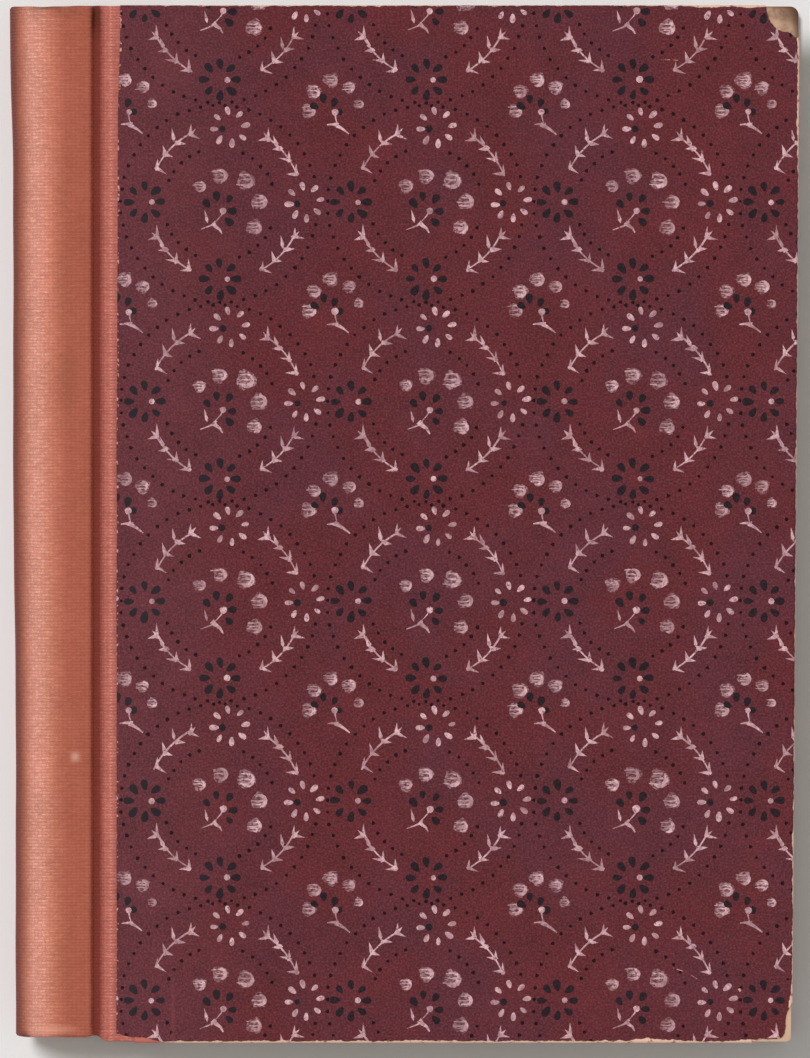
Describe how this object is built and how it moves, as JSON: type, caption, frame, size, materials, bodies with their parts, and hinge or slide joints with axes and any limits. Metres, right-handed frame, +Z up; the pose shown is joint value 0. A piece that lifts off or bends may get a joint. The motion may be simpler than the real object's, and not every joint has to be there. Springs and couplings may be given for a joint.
{
  "type": "hardback book",
  "caption": "Small half-bound hardback: salmon cloth spine, maroon trellis-patterned paper boards, rounded back and both covers hinged at their grooves.",
  "frame": {"origin": "middle of the closed book's outline, on the plane that the back cover lies on", "axes": "+X from the spine to the fore-edge, +Y from the tail to the head, +Z up from the back cover through the front cover"},
  "size_m": [0.1438, 0.19, 0.0279],
  "materials": {
    "printed_paper": "matte",
    "spine_cloth": "matte",
    "board": "matte",
    "page_paper": "matte",
    "endpaper": "matte",
    "gauze": "matte",
    "lining_paper": "matte",
    "band_silk": "satin"
  },
  "bodies": {
    "book_block": {"text_block": "page_paper", "front_flyleaf": "endpaper", "back_flyleaf": "endpaper", "gauze": "gauze", "spine_lining": "lining_paper", "head_band": "band_silk", "tail_band": "band_silk", "spine_inlay": "board", "spine_cloth": "spine_cloth"},
    "front_cover": {"front_board": "board", "front_joint_cloth": "spine_cloth", "front_cover_paper": "printed_paper", "front_gauze_flap": "gauze", "front_pastedown": "endpaper"},
    "back_cover": {"back_board": "board", "back_joint_cloth": "spine_cloth", "back_cover_paper": "printed_paper", "back_gauze_flap": "gauze", "back_pastedown": "endpaper"}
  },
  "joints": [
    {"name": "front_hinge", "type": "hinge", "parent": "book_block", "child": "front_cover", "pos_m": [-0.057, 0, 0.0282], "axis": [0, -1, 0], "range_deg": [0, 178]},
    {"name": "back_hinge", "type": "hinge", "parent": "book_block", "child": "back_cover", "pos_m": [-0.057, 0, -0.0003], "axis": [0, 1, 0], "range_deg": [0, 178]}
  ]
}
